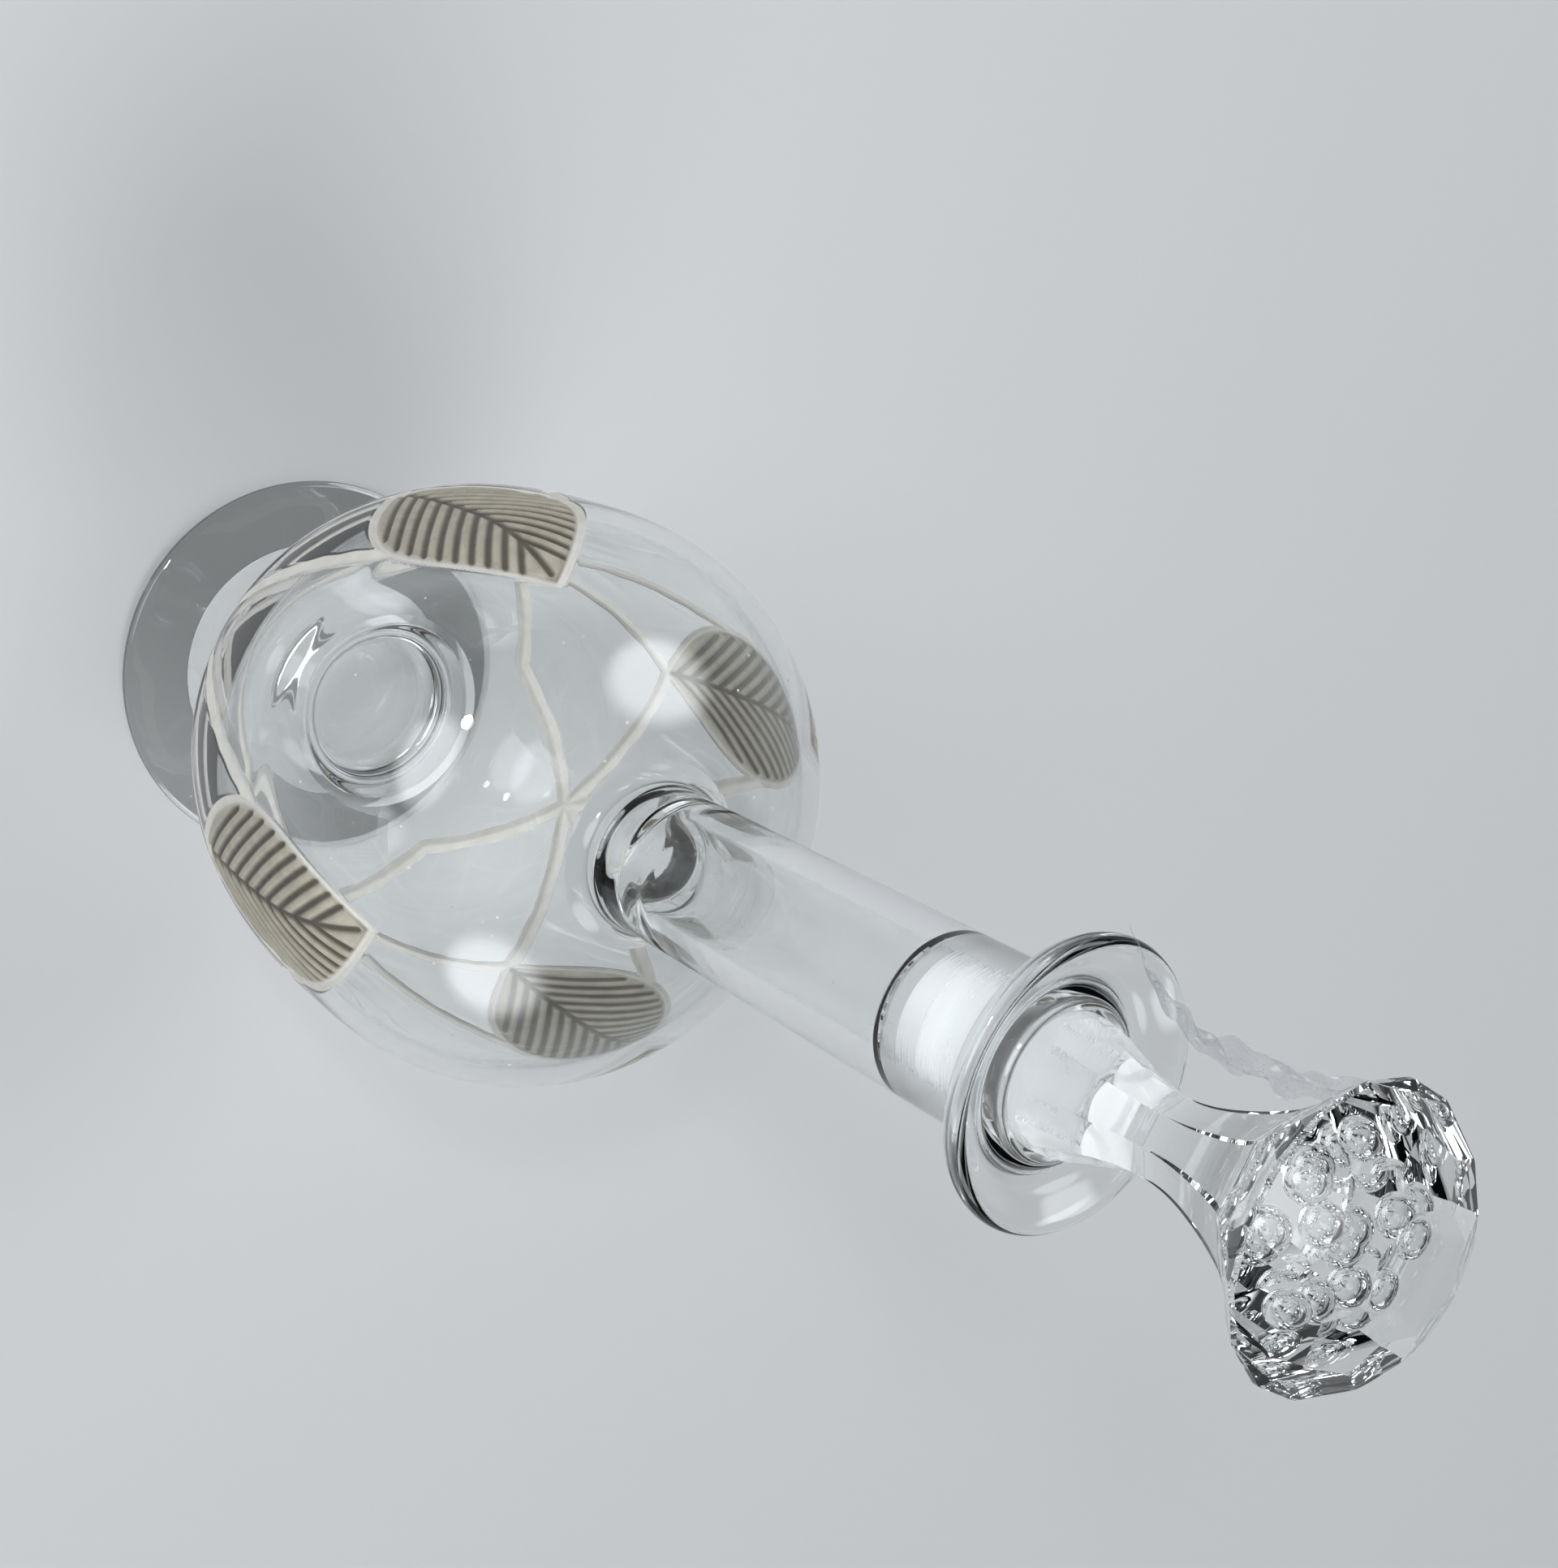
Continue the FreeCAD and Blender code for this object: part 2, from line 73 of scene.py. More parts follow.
def turned(outline, around=AROUND):
    """Vertices and faces of (radius, height) rows swept round the axis. A radius may vary round it."""
    spin = 2 * math.pi * np.arange(around) / around
    vertices = []
    rows = []
    for radius, height in outline:
        row = [len(vertices)] * around
        if np.max(radius) > ON_AXIS:
            row = list(range(len(vertices), len(vertices) + around))
            vertices += list(zip(radius * np.cos(spin), radius * np.sin(spin), np.full(around, height)))
        else:
            vertices.append((0, 0, height))
        rows.append(row)
    faces = []
    for low, high in zip(rows, rows[1:]):
        for j in range(around):
            k = (j + 1) % around
            faces.append(list(dict.fromkeys([low[j], low[k], high[k], high[j]])))
    return vertices, faces


def stand_for(name, mesh, body, node):
    """An object with this mesh that moves with a body, in place of a CAD node."""
    made = bpy.data.objects.new(name, mesh)
    bpy.context.scene.collection.objects.link(made)
    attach(made, body)
    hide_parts(node)
    return made


def piece(name, skins, body, node, materials):
    """One object made of skins, each (vertices, faces, material number), in place of a CAD node."""
    vertices = []
    faces = []
    numbers = []
    for skin_vertices, skin_faces, number in skins:
        start = len(vertices)
        vertices += skin_vertices
        faces += [[start + i for i in face] for face in skin_faces]
        numbers += [number] * len(skin_faces)
    mesh = bpy.data.meshes.new(name)
    mesh.from_pydata(vertices, [], faces)
    mesh.polygons.foreach_set("material_index", numbers)
    mesh.polygons.foreach_set("use_smooth", [True] * len(faces))
    for material in materials:
        mesh.materials.append(material)
    return stand_for(name, mesh, body, node)


# A Mix node has sockets for every kind of value; these are its two colours and their result.
MIX_FIRST = 6
MIX_SECOND = 7
MIX_RESULT = 2


class Shade:
    """A shader socket. Arithmetic on it adds Math nodes, and add() makes any other node."""

    def __init__(self, tree, socket=None):
        self.tree = tree
        self.socket = socket

    def add(self, kind, settings, sockets, output=0):
        """A new node of this kind with its settings and its sockets' values or links."""
        node = self.tree.nodes.new(kind)
        for name, value in settings.items():
            setattr(node, name, value)
        for name, value in sockets.items():
            if isinstance(value, Shade):
                self.tree.links.new(value.socket, node.inputs[name])
            else:
                node.inputs[name].default_value = value
        made = node.outputs[output] if node.outputs else None
        return Shade(self.tree, made)

    def maths(self, operation, first, second):
        return self.add("ShaderNodeMath", {"operation": operation}, {0: first, 1: second})

    def __add__(self, other):
        return self.maths("ADD", self, other)

    def __sub__(self, other):
        return self.maths("SUBTRACT", self, other)

    def __rsub__(self, other):
        return self.maths("SUBTRACT", other, self)

    def __mul__(self, other):
        return self.maths("MULTIPLY", self, other)

    def __pow__(self, other):
        return self.maths("POWER", self, other)

    def __rpow__(self, other):
        return self.maths("POWER", other, self)

    __radd__ = __add__
    __rmul__ = __mul__

    def between(self, low, high):
        """How far along this is from a low to a high value, kept from 0 to 1."""
        sockets = {"Value": self, "From Min": low, "From Max": high}
        return self.add("ShaderNodeMapRange", {"interpolation_type": "SMOOTHSTEP"}, sockets)

    def tinted(self, first, second):
        """The colour this far from a first to a second colour."""
        sockets = {"Factor": self, MIX_FIRST: first, MIX_SECOND: second}
        return self.add("ShaderNodeMix", {"data_type": "RGBA"}, sockets, MIX_RESULT)


def new_material(name):
    """A new material, the Shade that builds its nodes, and the place on the object."""
    material = bpy.data.materials.new(name)
    material.use_nodes = True
    material.node_tree.nodes.clear()
    shade = Shade(material.node_tree)
    return material, shade, shade.add("ShaderNodeTexCoord", {}, {}, "Object")


def coat_with(shade, surface):
    """Ends the material with its surface."""
    shade.add("ShaderNodeOutputMaterial", {}, {"Surface": surface})


def mottle(shade, place, scale, detail=3.0):
    """Soft irregular patches from 0 to 1, scale of them to a metre."""
    return shade.add("ShaderNodeTexNoise", {}, {"Vector": place, "Scale": scale, "Detail": detail})


def bumped(shade, height, strength, distance):
    """A normal for a surface that rises with height, by up to a distance."""
    sockets = {"Strength": strength, "Distance": distance, "Height": height}
    return shade.add("ShaderNodeBump", {}, sockets)


CRYSTAL_IOR = 1.54
CRYSTAL_TINT = (0.955, 0.968, 0.968, 1)
CLEAR_LAMP_SHARE = 0.85
DUST_COLOUR = (0.86, 0.87, 0.88, 1)
DUST_COVER = 0.8
SPECKS_A_METRE = 190.0
SPECK_EDGE = (0.05, 0.09)
LINT_A_METRE = 60.0
LINT_EDGE = (0.5, 0.75)
SMEARS_A_METRE = 55.0
SMEAR_CONTRAST = 4.0
SMEAR_ROUGHNESS = 0.12
POLISH_ROUGHNESS = 0.003
WAVES_A_METRE = 38.0
WAVE_STRENGTH = 0.35
BLOWN_WAVE = 0.12 * MM


def lets_lamps_through(shade, surface, share):
    """Crystal that passes a share of the lamps' light on to what it shades."""
    shadow = shade.add("ShaderNodeLightPath", {}, {}, "Is Shadow Ray")
    clear = shade.add("ShaderNodeBsdfTransparent", {}, {})
    return shade.add("ShaderNodeMixShader", {}, {0: shadow * share, 1: surface, 2: clear})


def dusted(shade, surface, place):
    """A surface with fine specks of dust and dried droplets lying on it."""
    cells = {"Vector": place, "Scale": SPECKS_A_METRE}
    specks = shade.add("ShaderNodeTexVoronoi", {}, cells, "Distance")
    lint = mottle(shade, place, LINT_A_METRE).between(*LINT_EDGE)
    dust = shade.add("ShaderNodeBsdfDiffuse", {}, {"Color": DUST_COLOUR})
    cover = (1 - specks.between(*SPECK_EDGE)) * lint * DUST_COVER
    return shade.add("ShaderNodeMixShader", {}, {0: cover, 1: surface, 2: dust})


def polished(shade, place, wave):
    """Fire-polished crystal: faint handling smears, and the slight waver of hand work."""
    smears = mottle(shade, place, SMEARS_A_METRE) ** SMEAR_CONTRAST
    waver = mottle(shade, place, WAVES_A_METRE, 1.0)
    return shade.add(
        "ShaderNodeBsdfPrincipled",
        {},
        {
            "Base Color": CRYSTAL_TINT,
            "Roughness": smears * SMEAR_ROUGHNESS + POLISH_ROUGHNESS,
            "IOR": CRYSTAL_IOR,
            "Transmission Weight": 1.0,
            "Normal": bumped(shade, waver, WAVE_STRENGTH, wave),
        },
    )


def clear_crystal(name, wave=BLOWN_WAVE):
    """Clear polished crystal whose surface wavers by up to a wave."""
    material, shade, place = new_material(name)
    surface = dusted(shade, polished(shade, place, wave), place)
    coat_with(shade, lets_lamps_through(shade, surface, CLEAR_LAMP_SHARE))
    return material


foot_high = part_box("foot")[1]
foot_radius = foot_high.x
foot_edge = 3.2 * MM
hollow_radius = 31 * MM
hollow_depth = 4 * MM
stem_low_radius = 17.5 * MM
stem_foot_height = foot_high.z
trumpet_fall = stem_foot_height - foot_edge
foot_flat_radius = foot_radius - foot_edge / 2
trumpet_spread = foot_flat_radius - stem_low_radius
HOLLOW_SHARES = [(0.3, 0.92), (0.6, 0.66), (0.97, 0.06)]
TRUMPET_SHARES = [(0.62, 0.16), (0.25, 0.45)]
hollow_line = [(hollow_radius * out, hollow_depth * up) for out, up in HOLLOW_SHARES]
trumpet_line = [
    (stem_low_radius + trumpet_spread * out, foot_edge + trumpet_fall * up) for out, up in TRUMPET_SHARES
]
foot_outline = (
    flowing([(0, hollow_depth), *hollow_line, (hollow_radius, 0)])
    + rounded((foot_flat_radius, foot_edge / 2), foot_edge / 2, -90, 90)
    + flowing([(foot_flat_radius, foot_edge), *trumpet_line, (stem_low_radius, stem_foot_height)])[1:]
)
foot_skin = (*turned(foot_outline), 0)
piece("foot_glass", [foot_skin], "vessel", "foot", [clear_crystal("foot crystal")])

# The stem is a short waist of solid crystal, drawn out while soft and fused to the foot below and
# to the bowl above, so only its side is a surface.
seat_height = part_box("stem")[1].z
stem_seat_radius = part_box("stem")[1].x
stem_rise = seat_height - stem_foot_height
waist_radius = 16.5 * MM
waist_height = stem_foot_height + stem_rise * 0.35
flare_radius = waist_radius + (stem_seat_radius - waist_radius) * 0.35
flare_height = stem_foot_height + stem_rise * 0.8
stem_outline = flowing([
    (stem_low_radius, stem_foot_height),
    (waist_radius, waist_height),
    (flare_radius, flare_height),
    (stem_seat_radius, seat_height),
], 20)
stem_skin = (*turned(stem_outline), 0)
piece("stem_glass", [stem_skin], "vessel", "stem", [clear_crystal("stem crystal")])

# The bowl is a blown globe with a thick base. V-edged stone wheels have cut four matte leaves into
# it, with midrib and veins, and six-ray stars between them that a zigzag joins below.
bowl_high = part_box("bowl")[1]
globe_size = bowl_high.x
root_height = bowl_high.z
root_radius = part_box("neck")[1].x
bore_radius = 9.4 * MM
globe_above = 47.5 * MM
globe_below = 80 * MM
globe_wall = 3.6 * MM
globe_base = 9 * MM
shoulder_power = 2.5
belly_power = 2.7
root_share = (root_radius / globe_size) ** shoulder_power
widest_height = root_height - globe_above * (1 - root_share) ** (1 / shoulder_power)

LEAVES = 4
LEAF_TURN = 45.0
HALF_PITCH = 180 / LEAVES
leaf_top = root_height - 16 * MM
leaf_length = 64 * MM
leaf_low = leaf_top - leaf_length
leaf_half_angle = 18.0
leaf_widest = 0.54
leaf_fullness = 1.8
star_height = leaf_low - 24 * MM
zigzag_height = star_height - 13.5 * MM
groove_half = 2.0 * MM
outline_half = 1.3 * MM
vein_half = 1.35 * MM
cut_depth = 0.9 * MM

# The hand strays in three slow waves, each given by its waves along x, y and z.
unevenness = 0.22 * MM
stray_length = 1.7 * MM
STRAY_WAVES = [(1, 0.7, 0), (0.4, 0, 1.3), (0, 0.9, -0.6)]

# The midrib's ends and the veins' roots are at shares of the leaf's length, from its low tip. The
# veins lean and reach out to a share of its half width. The matte starts this many degrees inside it.
MIDRIB_ENDS = (0.02, 0.97)
VEINS = 10
FIRST_VEIN = 0.05
VEIN_PITCH = 0.085
VEIN_STEP = 0.002
vein_lean = 35.0
vein_reach = 0.93
leaf_surround = 2.0
matte_inset = 0.2

# How finely the globe and its cuts are drawn.
grid_step = 0.45 * MM
inside_step = 1.2 * MM
OUTLINE_POINTS = 6000
LEAF_POINTS = 33
MIDRIB_POINTS = 25
VEIN_STEPS = 8
HALVINGS = 30

# How much a cut above or below the globe's widest part is seen from above or below.
OUTWARD_RISE = 0.25


def globe_radius(height, inset=0.0, base=0.0):
    """The globe's radius at each height; inset and base give the inside."""
    height = np.asarray(height, float)
    upper = height >= widest_height
    reach = np.where(upper, globe_above - inset, globe_below - base)
    power = np.where(upper, shoulder_power, belly_power)
    share = np.clip(np.abs(height - widest_height) / reach, 0, 1)
    return (globe_size - inset) * (1 - share**power) ** (1 / power)


def evenly(radii, heights, step):
    """The same outline with points this far apart along it."""
    run = np.concatenate([[0], np.cumsum(np.hypot(np.diff(radii), np.diff(heights)))])
    spots = np.linspace(0, run[-1], max(2, int(run[-1] / step)))
    return np.interp(spots, run, radii), np.interp(spots, run, heights)


def leaf_edge(share):
    """Half the leaf's width in degrees at a share of its length, from its low tip."""
    share = np.clip(share, 0, 1)
    grow = (share / leaf_widest) ** (leaf_fullness * leaf_widest)
    fade = ((1 - share) / (1 - leaf_widest)) ** (leaf_fullness * (1 - leaf_widest))
    return leaf_half_angle * grow * fade


def on_leaf(share, across):
    """A place on the leaf: its turn in degrees and its height."""
    return (across * float(leaf_edge(share)), leaf_low + leaf_length * share)


def on_globe(place):
    """The point on the globe at a turn in degrees and a height."""
    turn = math.radians(place[0])
    radius = float(globe_radius(place[1]))
    return np.array([radius * math.cos(turn), radius * math.sin(turn), place[1]])


def straight_cut(first, last, steps=24):
    """Points on the globe along a cut that looks straight from outside, between two places."""
    start = on_globe(first)
    chord = on_globe(last) - start
    out = start + chord / 2
    out[2] = OUTWARD_RISE * (out[2] - widest_height)
    out -= chord * (out @ chord) / (chord @ chord)
    out /= np.linalg.norm(out)
    path = []
    for share in np.linspace(0, 1, steps + 1):
        near = 0.0
        far = globe_size
        for _ in range(HALVINGS):
            reach = (near + far) / 2
            spot = start + chord * share + out * reach
            if math.hypot(spot[0], spot[1]) < globe_radius(spot[2]):
                near = reach
            else:
                far = reach
        path.append(start + chord * share + out * near)
    return path


def nearest(points, path):
    """How far each point is from a path of short straight runs."""
    least = np.full(len(points), np.inf)
    for start, end in zip(path, path[1:]):
        along = end - start
        share = np.clip((points - start) @ along / (along @ along), 0, 1)
        least = np.minimum(least, np.linalg.norm(points - start - share[:, None] * along, axis=1))
    return least


def mitred(gap, half_width):
    """How deep a V-edged wheel has cut at a distance from the middle of its path."""
    return cut_depth * np.clip(1 - gap / half_width, 0, 1)


def by_hand(points):
    """How far the cutter's hand strayed at each point, which leaves the edges of a cut uneven."""
    x, y, z = points.T / stray_length
    waves = [np.sin(a * x + b * y + c * z) for a, b, c in STRAY_WAVES]
    return unevenness * sum(waves) / 2


def vein_end(root):
    """The share of the leaf's length at which a vein with its root at another share ends."""
    end = root
    run = 0.0
    while end < 1 and run < vein_reach * leaf_edge(end):
        end += VEIN_STEP
        run = math.degrees(leaf_length * (end - root) * math.tan(math.radians(vein_lean)) / globe_size)
    return end


def vein_depth(points):
    """How deep the midrib and the veins of the leaf's one half are cut."""
    midrib = [on_globe(on_leaf(s, 0)) for s in np.linspace(*MIDRIB_ENDS, MIDRIB_POINTS)]
    depth = mitred(nearest(points, midrib), vein_half)
    for i in range(VEINS):
        root = FIRST_VEIN + VEIN_PITCH * i
        path = straight_cut(on_leaf(root, 0), on_leaf(vein_end(root), vein_reach), VEIN_STEPS)
        depth = np.maximum(depth, mitred(nearest(points, path), vein_half))
    return depth


def sector_cuts(points, turn, heights):
    """How deep the globe is cut over the sector round one leaf, and where the leaf itself is."""
    star = (HALF_PITCH, star_height)
    rays = [
        straight_cut(star, on_leaf(0, 0)),
        straight_cut(star, (0, zigzag_height)),
        straight_cut(star, on_leaf(leaf_widest, 1)),
    ]
    outline = [on_globe(on_leaf(s, 1)) for s in np.linspace(0, 1, LEAF_POINTS)]
    mirrored = points * np.array([1, -1, 1])
    depth = np.zeros(len(points))
    for ray in rays:
        gap = np.minimum(nearest(points, ray), nearest(mirrored, ray))
        depth = np.maximum(depth, mitred(gap + by_hand(points), groove_half))
    gap = np.minimum(nearest(points, outline), nearest(mirrored, outline))
    depth = np.maximum(depth, mitred(gap, outline_half))
    share = (heights - leaf_low) / leaf_length
    within = np.where((share > 0) & (share < 1), leaf_edge(share) - np.abs(turn), -1)
    near = within > -leaf_surround
    folded = points[near]
    folded[:, 1] = np.abs(folded[:, 1])
    depth[near] = np.maximum(depth[near], vein_depth(folded) * (within[near] > 0))
    return depth, np.clip(within - matte_inset, 0, 1)


def grid_faces(rows, around):
    """The four-sided faces of a grid of points that closes on itself round the axis."""
    column = np.arange(around)
    after = (column + 1) % around
    base = (np.arange(rows - 1) * around)[:, None]
    faces = np.stack([base + column, base + after, base + around + after, base + around + column], -1)
    return faces.reshape(-1, 4).tolist()


def cut_globe():
    """The outside of the globe with its cuts, and how deep and how leaf-like each point is."""
    heights = np.linspace(seat_height, root_height, OUTLINE_POINTS)
    radii, heights = evenly(globe_radius(heights), heights, grid_step)
    sector = 2 * int(math.pi * globe_size / grid_step / LEAVES)
    turn = (np.arange(sector) + 0.5) / sector * 2 * HALF_PITCH - HALF_PITCH
    grid_turn, grid_height = np.meshgrid(turn, heights)
    grid_radius = np.meshgrid(turn, radii)[1]
    angle = np.radians(grid_turn)
    points = np.stack([grid_radius * np.cos(angle), grid_radius * np.sin(angle), grid_height], -1)
    depth, leaf = sector_cuts(points.reshape(-1, 3), grid_turn.ravel(), grid_height.ravel())
    depth = depth.reshape(grid_turn.shape)
    slope_r = np.gradient(radii)
    slope_z = np.gradient(heights)
    length = np.hypot(slope_r, slope_z)
    cut_r = grid_radius - depth * (slope_z / length)[:, None]
    cut_z = grid_height + depth * (slope_r / length)[:, None]
    whole = np.tile(turn, LEAVES) + np.repeat(np.arange(LEAVES), sector) * 2 * HALF_PITCH + LEAF_TURN
    whole = np.radians(whole)
    wide_r = np.tile(cut_r, (1, LEAVES))
    wide_z = np.tile(cut_z, (1, LEAVES))
    vertices = np.stack([wide_r * np.cos(whole), wide_r * np.sin(whole), wide_z], -1).reshape(-1, 3)
    amounts = {
        "cut": np.tile(depth / cut_depth, (1, LEAVES)).ravel(),
        "leaf": np.tile(leaf.reshape(depth.shape), (1, LEAVES)).ravel(),
    }
    return list(map(tuple, vertices)), grid_faces(len(heights), sector * LEAVES), amounts


# Each colour of the ground cuts runs from its darker patches to its paler ones.
GROOVE_COLOURS = [(0.78, 0.75, 0.67, 1), (1.0, 0.99, 0.95, 1)]
RIDGE_COLOURS = [(0.34, 0.31, 0.24, 1), (0.70, 0.66, 0.54, 1)]
# The deep colours are painted shade: the leaves' tan turns near black down in the vein grooves.
PAINTED_SHADE_DEEP_COLOURS = [(0.05, 0.045, 0.032, 1), (0.14, 0.12, 0.085, 1)]
RIDGE_TO_PAINTED_SHADE = (0.15, 0.8)
STAINS_A_METRE = 300.0
GRINDING_A_METRE = 700.0
GRIT_A_METRE = 2600.0
grit_height = 0.05 * MM
CUT_EDGE = (0.02, 0.16)
LEAF_EDGE = (0.3, 0.9)
LEAF_MATTE = 0.92
CUT_LAMP_SHARE = 0.8


def cut_crystal():
    """Polished crystal, turning to stone-ground matte, with painted shade darkening the leaves down in
    their vein cuts.
    """
    material, shade, place = new_material("cut crystal")
    cut = shade.add("ShaderNodeAttribute", {"attribute_name": "cut"}, {}, "Fac")
    leaf = shade.add("ShaderNodeAttribute", {"attribute_name": "leaf"}, {}, "Fac")
    bright = dusted(shade, polished(shade, place, BLOWN_WAVE), place)
    patches = mottle(shade, place, STAINS_A_METRE)
    groove = patches.tinted(*GROOVE_COLOURS)
    ridge = patches.tinted(*RIDGE_COLOURS)
    painted_deep_shade = patches.tinted(*PAINTED_SHADE_DEEP_COLOURS)
    # Painted shade: the leaf colour darkens as its veins are cut deeper.
    leaf_stain_and_shade = cut.between(*RIDGE_TO_PAINTED_SHADE).tinted(ridge, painted_deep_shade)
    matte = shade.add(
        "ShaderNodeBsdfPrincipled",
        {},
        {
            "Base Color": leaf.tinted(groove, leaf_stain_and_shade),
            "Roughness": mottle(shade, place, GRINDING_A_METRE) * 0.2 + 0.34,
            "IOR": CRYSTAL_IOR,
            "Transmission Weight": 0.2,
            "Normal": bumped(shade, mottle(shade, place, GRIT_A_METRE), 0.5, grit_height),
        },
    )
    ground = shade.maths("MAXIMUM", cut.between(*CUT_EDGE), leaf.between(*LEAF_EDGE) * LEAF_MATTE)
    surface = shade.add("ShaderNodeMixShader", {}, {0: ground, 1: bright, 2: matte})
    coat_with(shade, lets_lamps_through(shade, surface, CUT_LAMP_SHARE))
    return material


outer_vertices, outer_faces, amounts = cut_globe()
inside_low = widest_height - globe_below + globe_base
inside_share = (bore_radius / (globe_size - globe_wall)) ** shoulder_power
inside_top = widest_height + (globe_above - globe_wall) * (1 - inside_share) ** (1 / shoulder_power)
inside_heights = np.linspace(inside_top, inside_low, OUTLINE_POINTS)
inside_radii = globe_radius(inside_heights, globe_wall, globe_base)
inside_radii[-1] = 0
inside_line = evenly(inside_radii, inside_heights, inside_step)
inside_outline = [(bore_radius, root_height), *zip(*inside_line)]
base_outline = [(stem_seat_radius, seat_height), (float(globe_radius(seat_height)), seat_height)]
bowl_skins = [(outer_vertices, outer_faces, 0), (*turned(inside_outline), 1), (*turned(base_outline), 1)]
bowl_finishes = [cut_crystal(), clear_crystal("bowl inside crystal")]
bowl = piece("bowl_glass", bowl_skins, "vessel", "bowl", bowl_finishes)
for label, values in amounts.items():
    everywhere = np.zeros(len(bowl.data.vertices))
    everywhere[: len(values)] = values
    bowl.data.attributes.new(label, "FLOAT", "POINT").data.foreach_set("value", everywhere)

# The neck is a straight tube blown with the bowl. It swells where it leaves the shoulder, lumpy
# inside from the joining, and its top is ground to a fine taper that the stopper seats in.
neck_radius = 14.2 * MM
lip_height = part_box("neck")[1].z
peg_low, peg_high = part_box("stopper_peg")
peg_top_radius = peg_high.x
peg_low_radius = 10 * MM
peg_slope = (peg_top_radius - peg_low_radius) / (peg_high.z - peg_low.z)
seat_gap = 0.1 * MM
root_rise = 6 * MM
root_swell = 1.1 * MM
root_swell_height = root_height + root_rise * 0.4
seat_end = peg_low.z - 3 * MM
dry_band = 5.6 * MM
lump_reach = 20 * MM
lump_size = 1.2 * MM

# Each lump wave has a size, its waves round the bore, a start, and how it turns with height.
LUMP_WAVES = [(1, 1, 0.6, 3), (0.6, 2, 0, -9), (0.4, 0, 0, 14)]
NECK_ROWS = 60
SEAT_ROWS = 16
LUMP_ROWS = 40
BORE_ROWS = 30


def peg_radius(height):
    """The radius of the ground taper at a height."""
    return peg_top_radius - peg_slope * (peg_high.z - height)


def lumpy(radius, height):
    """The bore's radii near its root, where the hot tube was joined and never quite evened."""
    turn = 2 * math.pi * np.arange(AROUND) / AROUND
    up = (height - root_height) / lump_reach
    fade = math.sin(math.pi * min(1.0, up)) ** 2
    swells = 0
    for size, waves, start, rise in LUMP_WAVES:
        swells = swells + size * np.sin(waves * turn + start + rise * up)
    return radius + lump_size * fade * swells / 2


# The grinding leaves rings round the axis, so its pattern is drawn out along x and y.
RING_STRETCH = (0.12, 0.12, 1.0)
RINGS_A_METRE = 2400.0
WET_PATCHES_A_METRE = 120.0
ring_height = 0.04 * MM
RING_STRENGTH = 0.6
WET_COLOUR = (0.94, 0.96, 0.97, 1)
DRY_COLOURS = [(0.84, 0.86, 0.87, 1), (0.97, 0.98, 0.99, 1)]
wet_wander = 1.2 * MM
wet_edge = 0.9 * MM


def ground_crystal(name, band):
    """Crystal ground with grit: fine rings, sheer where it is wet, and dry and white below band."""
    material, shade, place = new_material(name)
    drawn = shade.add("ShaderNodeMapping", {}, {"Vector": place, "Scale": RING_STRETCH})
    rings = mottle(shade, drawn, RINGS_A_METRE, 2.0)
    patches = mottle(shade, place, WET_PATCHES_A_METRE)
    grit = bumped(shade, rings, RING_STRENGTH, ring_height)
    sheer = shade.add(
        "ShaderNodeBsdfPrincipled",
        {},
        {
            "Base Color": WET_COLOUR,
            "Roughness": patches * 0.25 + rings * 0.12 + 0.04,
            "IOR": CRYSTAL_IOR,
            "Transmission Weight": 0.88,
            "Normal": grit,
        },
    )
    white = shade.add(
        "ShaderNodeBsdfPrincipled",
        {},
        {
            "Base Color": patches.tinted(*DRY_COLOURS),
            "Roughness": rings * 0.2 + 0.45,
            "IOR": CRYSTAL_IOR,
            "Transmission Weight": 0.12,
            "Normal": grit,
        },
    )
    up = shade.add("ShaderNodeSeparateXYZ", {}, {"Vector": place}, "Z")
    wet = (up + patches * wet_wander).between(band, band + wet_edge)
    surface = shade.add("ShaderNodeMixShader", {}, {0: wet, 1: white, 2: sheer})
    coat_with(shade, lets_lamps_through(shade, surface, CLEAR_LAMP_SHARE))
    return material


tube_low = root_height + root_rise
lumps_top = root_height + lump_reach
neck_side = flowing([
    (root_radius, root_height),
    (neck_radius + root_swell, root_swell_height),
    (neck_radius, tube_low),
]) + [(neck_radius, h) for h in np.linspace(tube_low, lip_height, NECK_ROWS)[1:]]
seat_side = [(peg_radius(h) + seat_gap, h) for h in np.linspace(lip_height, seat_end, SEAT_ROWS)]
bore_side = (
    [seat_side[-1]]
    + [(bore_radius, h) for h in np.linspace(seat_end, lumps_top, BORE_ROWS)[:-1]]
    + [(lumpy(bore_radius, h), h) for h in np.linspace(lumps_top, root_height, LUMP_ROWS)]
)
neck_skins = [(*turned(neck_side), 0), (*turned(seat_side), 1), (*turned(bore_side), 0)]
neck_finishes = [clear_crystal("neck crystal"), ground_crystal("ground seat", seat_end)]
piece("neck_glass", neck_skins, "vessel", "neck", neck_finishes)

# The lip is a wide collar, flared and dished hot, with a fire-rounded rim and a fine ridge that
# the tool left round the mouth.
LIP_ROWS = 6
lip_radius = 23.2 * MM
lip_rise = 9.6 * MM
bead = 1.7 * MM
bead_radius = lip_radius - bead
bead_height = lip_height + lip_rise - bead
mouth_height = lip_height + 6.6 * MM
mouth_end = mouth_height - 0.4 * MM
mouth_radius = peg_radius(mouth_height) + seat_gap
lip_spread = bead_radius - neck_radius
flare_point = (neck_radius + lip_spread * 0.22, lip_height + (bead_height - lip_height) * 0.42)
dish_point = (mouth_radius + lip_spread * 0.85, mouth_height + 0.75 * MM)
ridge_foot = (mouth_radius + 2.6 * MM, mouth_height)
ridge_crest = (mouth_radius + 1.4 * MM, mouth_height + 0.7 * MM)
lip_bead = rounded((bead_radius, bead_height), bead, -60, 120, 24)
